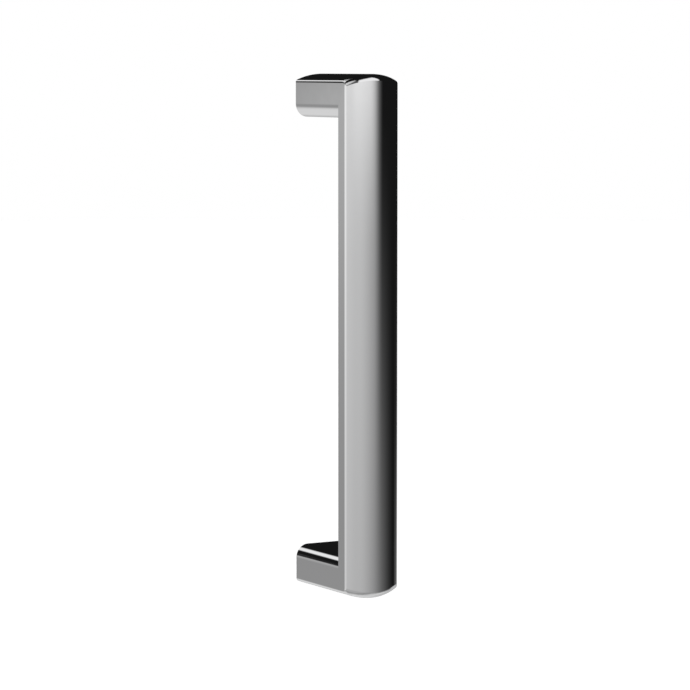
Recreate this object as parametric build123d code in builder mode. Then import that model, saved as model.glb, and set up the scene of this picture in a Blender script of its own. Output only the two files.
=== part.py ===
"""Bow handle for a shower door, cast in one piece. Millimetres, +Z up.

The origin is on the mounting plane, midway between the two fixing holes. The legs stand on the plane
Y = 0, the grip runs along Z in front of it, and the bowed front faces -Y.
"""
import os

from build123d import *

os.makedirs("parts", exist_ok=True)

# overall form
hole_spacing = 192.0
leg_height = 17.4
width = 24.5
projection = 42.0
front_rise = 2.5
end_radius = 30.0

# grip, legs and rounds
grip_side_thickness = 5.45
grip_edge_round = 0.3
leg_inner_round = 5.3
side_round = 1.0
end_round = 2.6

# tapped fixing hole in each leg
tap_core_diameter = 4.2
mouth_diameter = 5.4
tap_depth = 14.0
drill_tip_height = 1.25

# derived places
half_width = width / 2
bow_radius = (half_width**2 + front_rise**2) / (2 * front_rise)
hole_height = hole_spacing / 2
leg_inner_face = hole_height - leg_height / 2
end_crest = hole_height + leg_height / 2
end_centre = end_crest - end_radius
shoulder = end_centre + (end_radius**2 - half_width**2) ** 0.5
crease_depth = projection - front_rise
grip_back = crease_depth - grip_side_thickness
leg_root = grip_back + grip_side_thickness / 2
mouth_depth = (mouth_diameter - tap_core_diameter) / 2


def domed_outline(reach, plane):
    """Return the front outline, domed at both ends, out to the given reach on each side of the middle."""
    dome_foot = end_centre + (end_radius**2 - reach**2) ** 0.5
    with BuildSketch(plane) as outline:
        with BuildLine():
            Line((reach, 0), (reach, dome_foot))
            ThreePointArc((reach, dome_foot), (0, end_crest), (-reach, dome_foot))
            Line((-reach, dome_foot), (-reach, 0))
            mirror(about=Plane.XZ)
        make_face()
    return outline.sketch


def front_edges(body):
    """Return the edges of the bowed front: those along the two sides, and those over the two ends."""
    front = body.faces().sort_by(Axis.Y)[0].edges()
    creases = front.filter_by(Axis.Z)
    return creases, front - creases


# the bowed front and both domed ends, wider than the handle, with the full round between them
with BuildPart() as rounded_ends:
    outline = domed_outline(half_width + side_round, Plane.XZ.offset(-side_round))
    extrude(outline, amount=side_round + projection)
    with Locations((0, bow_radius - projection, 0)):
        Cylinder(bow_radius, 2 * end_crest + side_round, mode=Mode.INTERSECT)
    fillet(front_edges(rounded_ends)[1], end_round)

with BuildPart() as handle:
    # grip, bowed across the front and flat behind, with a small round on its two inner edges
    with BuildSketch(Plane.XY) as grip_section:
        with BuildLine():
            Line((-half_width, -grip_back), (half_width, -grip_back))
            Line((half_width, -grip_back), (half_width, -crease_depth))
            ThreePointArc((half_width, -crease_depth), (0, -projection), (-half_width, -crease_depth))
            Line((-half_width, -crease_depth), (-half_width, -grip_back))
        make_face()
        fillet(grip_section.vertices().group_by(Axis.Y)[-1], grip_edge_round)
    extrude(amount=end_crest, both=True)

    # both ends are domed across the width
    extrude(domed_outline(half_width, Plane.XZ), amount=projection, mode=Mode.INTERSECT)

    # legs, from the mounting plane into the grip, with round inner side edges
    with BuildSketch(Plane.XZ) as leg_sections:
        with BuildLine():
            Line((-half_width, leg_inner_face), (half_width, leg_inner_face))
            Line((half_width, leg_inner_face), (half_width, shoulder))
            ThreePointArc((half_width, shoulder), (0, end_crest), (-half_width, shoulder))
            Line((-half_width, shoulder), (-half_width, leg_inner_face))
        make_face()
        fillet(leg_sections.vertices().group_by(Axis.Y)[0], leg_inner_round)
        mirror(about=Plane.XZ)
    extrude(amount=leg_root)

    # the narrow round along both sides and over the ends, which then meets the full round
    creases, end_edges = front_edges(handle)
    shoulders = handle.edges().filter_by(Axis.Y).group_by(Axis.Z)
    fillet(creases + end_edges + shoulders[0] + shoulders[-1], side_round)
    add(rounded_ends.part, mode=Mode.INTERSECT)

    # blind tapped hole in the foot of each leg, with a countersunk mouth and a drill tip
    for foot in (hole_height, -hole_height):
        with BuildSketch(Plane.XY.offset(foot)):
            with BuildLine():
                Polyline(
                    (0, 0),
                    (mouth_diameter / 2, 0),
                    (tap_core_diameter / 2, -mouth_depth),
                    (tap_core_diameter / 2, -tap_depth),
                    (0, -tap_depth - drill_tip_height),
                    close=True,
                )
            make_face()
        revolve(axis=Axis((0, 0, foot), (0, 1, 0)), mode=Mode.SUBTRACT)

handle.part.label = "handle"
export_step(handle.part, "parts/handle.step")
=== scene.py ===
"""Finish and studio for a shower door handle. Metres, in the frame of the CAD model.

The handle is a CAD node that keeps its shape and gets polished chrome plating with satin feet and bare
tapped holes. The studio is a pale floor, soft boxes and dark flags, with the camera at the front left.
"""

import math

import bmesh
import bpy
from mathutils import Euler, Matrix

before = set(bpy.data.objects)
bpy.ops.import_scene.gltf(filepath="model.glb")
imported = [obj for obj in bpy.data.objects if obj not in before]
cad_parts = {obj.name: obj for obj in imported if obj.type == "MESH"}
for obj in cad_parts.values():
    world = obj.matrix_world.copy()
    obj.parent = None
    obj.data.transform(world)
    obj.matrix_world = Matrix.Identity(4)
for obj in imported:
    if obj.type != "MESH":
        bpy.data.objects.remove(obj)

bl_info = {
    "name": "Shower Door Handle",
    "version": (1, 0, 0),
    "blender": (4, 5, 0),
    "location": "View3D > Sidebar > Handle",
    "description": "Finishes the handle and sets up its studio",
    "category": "Object",
}

HANDLE = "handle"
MM = 0.001

# weights of the distances across, forwards and up that make the diagonal of a front corner
CORNER_DIAGONAL = (0.924, 0.346, 0.577)

# scales of the noise that varies the plating
HAZE_SCALE = 160.0
RIPPLE_SCALE = 220.0

# Angles of the studio in degrees. Bearing goes round the handle as seen from above, from a direction
# 60 degrees left of straight in front, positive towards the right. Each panel covers the ones before it.
# DARK is the strength of the darkest places.
BEARING_ZERO = -60.0
ALL_ROUND = 400.0
DARK = 0.009
STUDIO_PANELS = (
    {"name": "Left soft box", "left": -83.8, "right": 50.6, "side": 6.3, "low": -5, "low_soft": 4,
     "high": 50, "high_soft": 3, "upper": 0.681, "lower": 0.681},
    {"name": "Rear strip light", "left": -115, "right": -88, "side": 3.7, "low": 23.5, "low_soft": 2,
     "high": 45, "high_soft": 2, "upper": 0.956, "lower": 0.956},
    {"name": "High left soft box", "left": -116.9, "right": -65.2, "side": 7.1, "low": 55.2,
     "low_soft": 4.9, "high": 78, "high_soft": 1.9, "upper": 0.897, "lower": 0.897},
    {"name": "Dark ground", "left": -ALL_ROUND, "right": ALL_ROUND, "side": 1, "low": -95, "low_soft": 1,
     "high": 0.3, "high_soft": 0.7, "upper": DARK, "lower": DARK},
    {"name": "Near floor", "left": -ALL_ROUND, "right": ALL_ROUND, "side": 1, "low": -95, "low_soft": 1,
     "high": -6.9, "high_soft": 12, "upper": 0.782, "lower": 0.702},
    {"name": "Far floor, rear right", "left": -189.7, "right": -133.5, "side": 7.9, "low": -95,
     "low_soft": 1, "high": -15.4, "high_soft": 0.3, "upper": 0.583, "lower": 0.888},
    {"name": "Far floor, front low", "left": -9.2, "right": 88.8, "side": 40, "low": -50.6,
     "low_soft": 17.9, "high": -1.9, "high_soft": 1, "upper": 0.862, "lower": 0.325, "low_from": 105.8,
     "low_slope": 0.34},
    {"name": "Far floor, rear left", "left": -146.7, "right": -46.5, "side": 0.6, "low": -12.9,
     "low_soft": 12.1, "high": 0.2, "high_soft": 1, "upper": 0.506, "lower": 0.152},
    {"name": "Far floor, left", "left": -57.8, "right": 41.3, "side": 19.8, "low": -11.8,
     "low_soft": 13.5, "high": 0.2, "high_soft": 1, "upper": 1.035, "lower": 0.658},
    {"name": "Grey flag, rear left", "left": -112, "right": -90.8, "side": 1.1, "low": -1.5,
     "low_soft": 2.7, "high": 6.2, "high_soft": 6.1, "upper": 0.27, "lower": 0.27},
    {"name": "Dark ground, right", "left": 64.8, "right": 140, "side": 13.9, "low": -25.8,
     "low_soft": 11.4, "high": 0.8, "high_soft": 1, "upper": DARK, "lower": DARK, "low_from": 89,
     "low_slope": 1.09},
    {"name": "Far floor, front", "left": 36, "right": 94.1, "side": 32.9, "low": -16.7, "low_soft": 7.3,
     "high": 0.1, "high_soft": 0.3, "upper": 0.651, "lower": 0.429, "low_from": 114.5, "low_slope": 0.48},
    {"name": "Dark flag, right", "left": 97.4, "right": ALL_ROUND, "side": 8.2, "low": -6.4,
     "low_soft": 5.9, "high": 95, "high_soft": 2, "upper": DARK, "lower": DARK},
    {"name": "Front soft box, lower edge", "left": 29, "right": 90.6, "side": 8.3, "low": -0.2,
     "low_soft": 3.4, "high": 6, "high_soft": 0.3, "upper": 0.974, "lower": 1.217},
    {"name": "Front soft box", "left": 60.4, "right": 99.4, "side": 2.1, "low": 1.6, "low_soft": 1.8,
     "high": 50.4, "high_soft": 8.6, "upper": 0.989, "lower": 0.989, "high_from": 117.4,
     "high_slope": 0.29},
    {"name": "Gap between soft boxes", "left": 46.7, "right": 57.6, "side": 3.9, "low": 0.8,
     "low_soft": 1.9, "high": 24.1, "high_soft": 2.3, "upper": 0.114, "lower": 0.114},
    {"name": "Far floor, right", "left": 131.9, "right": 170, "side": 5, "low": -60, "low_soft": 8,
     "high": -9, "high_soft": 3.3, "upper": 0.556, "lower": 0.556},
)


class PlatingFinish(bpy.types.PropertyGroup):
    """Look of the chrome plating and of the places without it."""

    chrome: bpy.props.FloatVectorProperty(
        name="Chrome", description="Colour of the chrome plating", subtype="COLOR",
        size=3, min=0, max=1, default=(0.82, 0.82, 0.825))
    haze: bpy.props.FloatProperty(
        name="Polishing haze", description="Roughness of the polished plating", subtype="FACTOR",
        min=0, max=1, default=0.045)
    ripple: bpy.props.FloatProperty(
        name="Ripple", description="Height of the long, shallow ripple that polishing leaves",
        subtype="DISTANCE", unit="LENGTH", min=0, default=0.0000012)
    shoulder: bpy.props.FloatProperty(
        name="Shoulder", description="Height where polishing begins to roll the sides off to the shoulders",
        subtype="DISTANCE", unit="LENGTH", default=0.10112)
    shoulder_width: bpy.props.FloatProperty(
        name="Shoulder width", description="Width of the rolled-off strip", subtype="DISTANCE",
        unit="LENGTH", min=0, default=0.0009)
    shoulder_fall: bpy.props.FloatProperty(
        name="Shoulder fall", description="How far the rolled-off strip falls away in the shading",
        subtype="DISTANCE", unit="LENGTH", min=0, default=0.00015)
    side_start: bpy.props.FloatProperty(
        name="Side start", description="Distance from the middle where the rolled-off strip begins",
        subtype="DISTANCE", unit="LENGTH", min=0, default=0.011)
    side_end: bpy.props.FloatProperty(
        name="Side end", description="Distance from the middle where the rolled-off strip is full",
        subtype="DISTANCE", unit="LENGTH", min=0, default=0.0117)
    corner: bpy.props.FloatVectorProperty(
        name="Corner", description="Place of a front corner, from the middle of the handle",
        subtype="TRANSLATION", unit="LENGTH", size=3, default=(0.01225, 0.0395, 0.10208))
    corner_reach: bpy.props.FloatProperty(
        name="Corner reach", description="How far before the corner its roll-off begins, along its diagonal",
        subtype="DISTANCE", unit="LENGTH", min=0, default=0.00104)
    corner_width: bpy.props.FloatProperty(
        name="Corner width", description="Length of the corner's roll-off along its diagonal",
        subtype="DISTANCE", unit="LENGTH", min=0, default=0.00227)
    corner_fall: bpy.props.FloatProperty(
        name="Corner fall", description="How far the corner falls away in the shading",
        subtype="DISTANCE", unit="LENGTH", min=0, default=0.00031)
    lip_start: bpy.props.FloatVectorProperty(
        name="Lip start", description="Where the lip that polishing leaves on each front crease begins",
        subtype="TRANSLATION", unit="LENGTH", size=3, default=(0.01176, 0.03882, 0.10008))
    lip_width: bpy.props.FloatVectorProperty(
        name="Lip width", description="Size of the slope of that lip across, forwards and up",
        subtype="TRANSLATION", unit="LENGTH", size=3, default=(0.00099, 0.00091, 0.0009))
    lip_rise: bpy.props.FloatProperty(
        name="Lip rise", description="How far the lip rises in the shading", subtype="DISTANCE",
        unit="LENGTH", min=0, default=0.00041)
    foot_roughness: bpy.props.FloatProperty(
        name="Foot roughness", description="Roughness of the satin feet", subtype="FACTOR",
        min=0, max=1, default=0.22)
    zinc: bpy.props.FloatVectorProperty(
        name="Zinc", description="Colour of the bare casting in the tapped holes", subtype="COLOR",
        size=3, min=0, max=1, default=(0.42, 0.42, 0.43))
    zinc_roughness: bpy.props.FloatProperty(
        name="Zinc roughness", description="Roughness of the bare casting", subtype="FACTOR",
        min=0, max=1, default=0.42)


class TappedHole(bpy.types.PropertyGroup):
    """Place and size of the tapped hole in each foot."""

    height: bpy.props.FloatProperty(
        name="Height", description="Height of the hole above or below the middle of the handle",
        subtype="DISTANCE", unit="LENGTH", default=0.096)
    mouth_radius: bpy.props.FloatProperty(
        name="Mouth radius", description="Radius of the countersunk mouth", subtype="DISTANCE",
        unit="LENGTH", default=0.0027)
    mouth_depth: bpy.props.FloatProperty(
        name="Mouth depth", description="Depth of the countersunk mouth", subtype="DISTANCE",
        unit="LENGTH", default=0.0006)
    depth: bpy.props.FloatProperty(
        name="Depth", description="Depth of the hole with its drill tip", subtype="DISTANCE",
        unit="LENGTH", default=0.0153)
    pitch: bpy.props.FloatProperty(
        name="Pitch", description="Pitch of the thread", subtype="DISTANCE", unit="LENGTH", default=0.0008)
    thread_depth: bpy.props.FloatProperty(
        name="Thread depth", description="How far the thread is cut into the hole", subtype="DISTANCE",
        unit="LENGTH", default=0.012)
    thread_height: bpy.props.FloatProperty(
        name="Thread height", description="Height of the thread's ridges in the shading",
        subtype="DISTANCE", unit="LENGTH", default=0.0004)


class StudioSettings(bpy.types.PropertyGroup):
    """Floor, lights and camera."""

    floor_height: bpy.props.FloatProperty(
        name="Floor height", description="Height of the floor in the handle's frame", subtype="DISTANCE",
        unit="LENGTH", default=-0.35)
    floor_radius: bpy.props.FloatProperty(
        name="Floor radius", description="Radius of the round floor", subtype="DISTANCE",
        unit="LENGTH", default=8.0)
    floor_colour: bpy.props.FloatVectorProperty(
        name="Floor colour", description="Colour of the matt floor", subtype="COLOR",
        size=3, min=0, max=1, default=(0.9, 0.9, 0.9))
    floor_roughness: bpy.props.FloatProperty(
        name="Floor roughness", description="Roughness of the matt floor", subtype="FACTOR",
        min=0, max=1, default=0.9)
    floor_lift: bpy.props.FloatProperty(
        name="Floor lift", description="How far the floor is lifted to the white of the background",
        subtype="FACTOR", min=0, max=1, default=0.8)
    key_power: bpy.props.FloatProperty(
        name="Key power", description="Power of the soft light on matt surfaces", subtype="POWER",
        unit="POWER", min=0, default=12.0)
    key_size: bpy.props.FloatProperty(
        name="Key size", description="Diameter of the soft light", subtype="DISTANCE",
        unit="LENGTH", min=0, default=1.2)
    key_place: bpy.props.FloatVectorProperty(
        name="Key place", description="Where the soft light hangs", subtype="TRANSLATION",
        unit="LENGTH", size=3, default=(-0.9, -1.1, 1.6))
    view_turn: bpy.props.FloatProperty(
        name="View turn", description="How far to the left of the front the camera stands",
        subtype="ANGLE", unit="ROTATION", default=math.radians(30.13))
    view_pitch: bpy.props.FloatProperty(
        name="View pitch", description="How far down the camera looks", subtype="ANGLE",
        unit="ROTATION", default=math.radians(5.08))
    view_place: bpy.props.FloatVectorProperty(
        name="Camera place", description="Where the camera stands", subtype="TRANSLATION",
        unit="LENGTH", size=3, default=(-0.6448, -1.1295, 0.1097))
    focal_length: bpy.props.FloatProperty(
        name="Focal length", description="Focal length of the camera", subtype="DISTANCE_CAMERA",
        unit="CAMERA", default=166.57)


# nodes

def new_group(name, inputs, outputs):
    """Return a shader node group with these float sockets, and its input and output nodes."""
    group = bpy.data.node_groups.new(name, "ShaderNodeTree")
    for label in inputs:
        group.interface.new_socket(name=label, in_out="INPUT", socket_type="NodeSocketFloat")
    for label in outputs:
        group.interface.new_socket(name=label, in_out="OUTPUT", socket_type="NodeSocketFloat")
    return group, group.nodes.new("NodeGroupInput"), group.nodes.new("NodeGroupOutput")


def feed(tree, socket, value):
    """Link an output to a socket, or set the socket to a number."""
    if isinstance(value, bpy.types.NodeSocket):
        tree.links.new(value, socket)
    else:
        socket.default_value = value


def maths(tree, operation, *values):
    """Return the result of a Math node."""
    node = tree.nodes.new("ShaderNodeMath")
    node.operation = operation
    for socket, value in zip(node.inputs, values):
        feed(tree, socket, value)
    return node.outputs["Value"]


def product(tree, first, *others):
    """Return the product of several numbers."""
    for other in others:
        first = maths(tree, "MULTIPLY", first, other)
    return first


def ramp(tree, value, start, end, to_start=0.0, to_end=1.0, kind="SMOOTHSTEP"):
    """Return the value mapped from one range to another, held at both ends."""
    node = tree.nodes.new("ShaderNodeMapRange")
    node.interpolation_type = kind
    for label, number in (("Value", value), ("From Min", start), ("From Max", end),
                          ("To Min", to_start), ("To Max", to_end)):
        feed(tree, node.inputs[label], number)
    return node.outputs["Result"]


def blend(tree, factor, first, second):
    """Return a mix of two numbers."""
    node = tree.nodes.new("ShaderNodeMix")
    node.data_type = "FLOAT"
    feed(tree, node.inputs[0], factor)
    feed(tree, node.inputs[2], first)
    feed(tree, node.inputs[3], second)
    return node.outputs[0]


def place_group(tree, group, values):
    """Put a node group in a tree, with its inputs linked or set by name."""
    node = tree.nodes.new("ShaderNodeGroup")
    node.node_tree = group
    for label, value in values.items():
        feed(tree, node.inputs[label], value)
    return node


def split_vector(tree, vector):
    """Return the three numbers of a vector."""
    node = tree.nodes.new("ShaderNodeSeparateXYZ")
    tree.links.new(vector, node.inputs["Vector"])
    return node.outputs


def noise(tree, place, scale, detail):
    """Return noise that varies over the surface."""
    node = tree.nodes.new("ShaderNodeTexNoise")
    node.inputs["Scale"].default_value = scale
    node.inputs["Detail"].default_value = detail
    tree.links.new(place, node.inputs["Vector"])
    return node.outputs["Fac"]


def bump(tree, height, distance, normal=None):
    """Return the normal bent by a height, over an earlier normal if there is one."""
    node = tree.nodes.new("ShaderNodeBump")
    node.inputs["Distance"].default_value = distance
    tree.links.new(height, node.inputs["Height"])
    if normal is not None:
        tree.links.new(normal, node.inputs["Normal"])
    return node.outputs["Normal"]


# plating

def tapped_holes(tree, x, y, z, hole):
    """Return a mask of the two tapped holes, and the grooves of their right-hand thread."""
    above_axis = maths(tree, "SUBTRACT", z, product(tree, maths(tree, "SIGN", z), hole.height))
    radius = maths(tree, "SQRT", maths(
        tree, "ADD", product(tree, x, x), product(tree, above_axis, above_axis)))
    in_bore = ramp(tree, radius, hole.mouth_radius + 0.05 * MM, hole.mouth_radius - 0.02 * MM)
    in_depth = ramp(tree, y, -hole.depth - 0.1 * MM, -hole.depth)
    bare = product(tree, in_bore, in_depth)

    # the thread goes from the mouth to near the end of the bore
    turns = maths(tree, "DIVIDE", maths(tree, "ARCTAN2", x, above_axis), math.tau)
    along = maths(tree, "SUBTRACT", maths(tree, "DIVIDE", y, hole.pitch), turns)
    flank = product(tree, maths(tree, "PINGPONG", along, 0.5), 2.0)
    before_end = ramp(tree, y, -hole.thread_depth - 0.3 * MM, -hole.thread_depth)
    past_mouth = ramp(tree, y, -hole.mouth_depth, -hole.mouth_depth - 0.1 * MM)
    return bare, product(tree, flank, before_end, past_mouth, bare)


def polished_off(tree, x, y, z, finish):
    """Return how far polishing has lowered the shoulders and the front corners."""
    outward = (maths(tree, "ABSOLUTE", x), product(tree, y, -1.0), maths(tree, "ABSOLUTE", z))
    above = ramp(tree, outward[2], finish.shoulder, finish.shoulder + finish.shoulder_width)
    beside = ramp(tree, outward[0], finish.side_start, finish.side_end)
    shoulders = product(tree, above, beside, finish.shoulder_fall)

    # the four front corners are rolled off a little more, along their diagonals
    diagonal = 0.0
    corner = 0.0
    for distance, corner_distance, weight in zip(outward, finish.corner, CORNER_DIAGONAL):
        diagonal = maths(tree, "ADD", diagonal, product(tree, distance, weight))
        corner += corner_distance * weight
    start = corner - finish.corner_reach
    corners = ramp(tree, diagonal, start, start + finish.corner_width, 0.0, finish.corner_fall)

    # a small lip is left where the front creases reach the corners
    lip = finish.lip_rise
    for distance, first, width in zip(outward, finish.lip_start, finish.lip_width):
        lip = product(tree, ramp(tree, distance, first, first + width), lip)
    return maths(tree, "SUBTRACT", maths(tree, "ADD", shoulders, corners), lip)


def chrome_material(finish, hole):
    """Return polished chrome plating, with satin feet and bare zinc in the two tapped holes."""
    material = bpy.data.materials.new("Polished chrome")
    material.use_nodes = True
    tree = material.node_tree
    shader = tree.nodes["Principled BSDF"]
    place = tree.nodes.new("ShaderNodeTexCoord").outputs["Object"]
    x, y, z = split_vector(tree, place)
    bare, thread = tapped_holes(tree, x, y, z, hole)
    on_foot = ramp(tree, y, -0.05 * MM, -0.01 * MM)

    haze = ramp(tree, noise(tree, place, HAZE_SCALE, 3.0), 0.35, 0.65, finish.haze * 0.8, finish.haze * 1.25)
    rough = blend(tree, on_foot, haze, finish.foot_roughness)
    tree.links.new(blend(tree, bare, rough, finish.zinc_roughness), shader.inputs["Roughness"])

    tint = tree.nodes.new("ShaderNodeMix")
    tint.data_type = "RGBA"
    tint.inputs[6].default_value = (*finish.chrome, 1.0)
    tint.inputs[7].default_value = (*finish.zinc, 1.0)
    tree.links.new(bare, tint.inputs[0])
    tree.links.new(tint.outputs[2], shader.inputs["Base Color"])
    shader.inputs["Metallic"].default_value = 1.0

    rippled = bump(tree, noise(tree, place, RIPPLE_SCALE, 1.0), finish.ripple)
    lowered = product(tree, polished_off(tree, x, y, z, finish), -1.0)
    rolled = bump(tree, lowered, 1.0, rippled)
    tree.links.new(bump(tree, thread, hole.thread_height, rolled), shader.inputs["Normal"])
    return material


# studio

def panel_group():
    """Return the node group that lays one soft-edged panel of light or dark over the light behind it."""
    inputs = ("Light", "Bearing", "Elevation", "Left", "Right", "Side Softness", "Low", "Low Softness",
              "High", "High Softness", "Upper Strength", "Lower Strength",
              "Low Slant From", "Low Slant", "High Slant From", "High Slant")
    group, source, sink = new_group("Studio panel", inputs, ("Light",))
    given = source.outputs

    def soft_step(value, edge, softness):
        """Return nothing before the edge and one after it, with a soft change between."""
        start = maths(group, "SUBTRACT", edge, softness)
        end = maths(group, "ADD", edge, softness)
        return ramp(group, value, start, end)

    def slanted(edge, start, slant):
        """Return the edge, lowered to the left of a bearing."""
        to_left = maths(group, "MAXIMUM", maths(group, "SUBTRACT", start, given["Bearing"]), 0.0)
        return maths(group, "SUBTRACT", edge, product(group, to_left, slant))

    low = slanted(given["Low"], given["Low Slant From"], given["Low Slant"])
    high = slanted(given["High"], given["High Slant From"], given["High Slant"])
    left = soft_step(given["Bearing"], given["Left"], given["Side Softness"])
    past_right = soft_step(given["Bearing"], given["Right"], given["Side Softness"])
    right = maths(group, "SUBTRACT", 1.0, past_right)
    above = soft_step(given["Elevation"], low, given["Low Softness"])
    past_high = soft_step(given["Elevation"], high, given["High Softness"])
    below = maths(group, "SUBTRACT", 1.0, past_high)
    cover = product(group, left, right, above, below)
    strength = ramp(group, given["Elevation"], given["Low"], given["High"],
                    given["Lower Strength"], given["Upper Strength"], kind="LINEAR")
    group.links.new(blend(group, cover, given["Light"], strength), sink.inputs["Light"])
    return group


def studio_world():
    """Return a world of soft boxes and flags for reflections and light, which the camera sees as white."""
    world = bpy.data.worlds.new("Studio")
    world.use_nodes = True
    tree = world.node_tree
    direction = tree.nodes.new("ShaderNodeTexCoord").outputs["Generated"]
    x, y, z = split_vector(tree, direction)
    turn = maths(tree, "DEGREES", maths(tree, "ARCTAN2", x, product(tree, y, -1.0)))
    bearing = maths(tree, "WRAP", maths(tree, "SUBTRACT", turn, BEARING_ZERO), 180.0, -180.0)
    elevation = maths(tree, "DEGREES", maths(tree, "ARCSINE", z))

    group = panel_group()
    light = DARK
    for panel in STUDIO_PANELS:
        node = place_group(tree, group, {
            "Light": light, "Bearing": bearing, "Elevation": elevation,
            "Left": panel["left"], "Right": panel["right"], "Side Softness": panel["side"],
            "Low": panel["low"], "Low Softness": panel["low_soft"],
            "High": panel["high"], "High Softness": panel["high_soft"],
            "Upper Strength": panel["upper"], "Lower Strength": panel["lower"],
            "Low Slant From": panel.get("low_from", 0.0), "Low Slant": panel.get("low_slope", 0.0),
            "High Slant From": panel.get("high_from", 0.0), "High Slant": panel.get("high_slope", 0.0),
        })
        node.label = panel["name"]
        light = node.outputs["Light"]

    rays = tree.nodes.new("ShaderNodeLightPath").outputs
    seen = maths(tree, "MAXIMUM", rays["Is Camera Ray"], rays["Is Transmission Ray"])
    background = tree.nodes["Background"]
    background.inputs["Color"].default_value = (1.0, 1.0, 1.0, 1.0)
    tree.links.new(blend(tree, seen, light, 1.0), background.inputs["Strength"])
    return world


def floor_material(settings):
    """Return a matt white floor, lifted to the white of the background for the camera, with its shadow."""
    material = bpy.data.materials.new("Pale floor")
    material.use_nodes = True
    tree = material.node_tree
    shader = tree.nodes["Principled BSDF"]
    shader.inputs["Base Color"].default_value = (*settings.floor_colour, 1.0)
    shader.inputs["Roughness"].default_value = settings.floor_roughness
    shader.inputs["Emission Color"].default_value = (1.0, 1.0, 1.0, 1.0)
    rays = tree.nodes.new("ShaderNodeLightPath").outputs
    seen = maths(tree, "MAXIMUM", maths(tree, "MAXIMUM", rays["Is Camera Ray"], rays["Is Glossy Ray"]),
                 rays["Is Transmission Ray"])
    tree.links.new(product(tree, seen, settings.floor_lift), shader.inputs["Emission Strength"])
    return material


class HANDLE_OT_plating(bpy.types.Operator):
    """Gives the handle its chrome plating, satin feet and bare tapped holes"""

    bl_idname = "handle.plating"
    bl_label = "Chrome Plating"

    def execute(self, context):
        scene = context.scene
        material = chrome_material(scene.handle_finish, scene.handle_hole)
        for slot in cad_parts[HANDLE].material_slots:
            slot.material = material
        return {"FINISHED"}


class HANDLE_OT_stage(bpy.types.Operator):
    """Makes the pale floor, the soft studio light and the camera"""

    bl_idname = "handle.stage"
    bl_label = "Studio"

    def execute(self, context):
        scene = context.scene
        settings = scene.handle_studio
        scene.view_settings.view_transform = "Standard"
        scene.world = studio_world()

        mesh = bpy.data.meshes.new("floor")
        shape = bmesh.new()
        bmesh.ops.create_circle(
            shape, cap_ends=True, segments=96, radius=settings.floor_radius,
            matrix=Matrix.Translation((0, 0, settings.floor_height)))
        shape.to_mesh(mesh)
        shape.free()
        mesh.materials.append(floor_material(settings))
        floor = bpy.data.objects.new("floor", mesh)
        floor.visible_glossy = False
        scene.collection.objects.link(floor)

        lamp = bpy.data.lights.new("key", "AREA")
        lamp.shape = "DISK"
        lamp.size = settings.key_size
        lamp.energy = settings.key_power
        key = bpy.data.objects.new("key", lamp)
        key.location = settings.key_place
        key.rotation_euler = (-key.location).to_track_quat("-Z", "Y").to_euler()
        key.visible_glossy = False
        scene.collection.objects.link(key)

        lens = bpy.data.cameras.new("camera")
        lens.sensor_width = 36.0
        lens.lens = settings.focal_length
        lens.clip_start = 0.05
        lens.clip_end = 50.0
        camera = bpy.data.objects.new("camera", lens)
        camera.location = settings.view_place
        camera.rotation_euler = Euler((math.pi / 2 - settings.view_pitch, 0.0, -settings.view_turn))
        scene.collection.objects.link(camera)
        scene.camera = camera
        return {"FINISHED"}


class HANDLE_PT_sidebar(bpy.types.Panel):
    """Lists the steps that finish the handle"""

    bl_idname = "HANDLE_PT_sidebar"
    bl_label = "Shower Door Handle"
    bl_space_type = "VIEW_3D"
    bl_region_type = "UI"
    bl_category = "Handle"

    def draw(self, context):
        layout = self.layout
        scene = context.scene
        for settings in (scene.handle_finish, scene.handle_hole, scene.handle_studio):
            box = layout.box()
            for name in settings.bl_rna.properties.keys():
                if name not in ("rna_type", "name"):
                    box.prop(settings, name)
        for operator in (HANDLE_OT_plating, HANDLE_OT_stage):
            layout.operator(operator.bl_idname)


CLASSES = (PlatingFinish, TappedHole, StudioSettings, HANDLE_OT_plating, HANDLE_OT_stage, HANDLE_PT_sidebar)


def register():
    """Register the settings, operators and panel."""
    for item in CLASSES:
        bpy.utils.register_class(item)
    bpy.types.Scene.handle_finish = bpy.props.PointerProperty(type=PlatingFinish)
    bpy.types.Scene.handle_hole = bpy.props.PointerProperty(type=TappedHole)
    bpy.types.Scene.handle_studio = bpy.props.PointerProperty(type=StudioSettings)


def unregister():
    """Take the settings, operators and panel away again."""
    del bpy.types.Scene.handle_finish
    del bpy.types.Scene.handle_hole
    del bpy.types.Scene.handle_studio
    for item in reversed(CLASSES):
        bpy.utils.unregister_class(item)


def main():
    """Finish the handle and set up its studio."""
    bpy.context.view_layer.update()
    register()
    bpy.ops.handle.plating()
    bpy.ops.handle.stage()


if __name__ == "__main__":
    main()
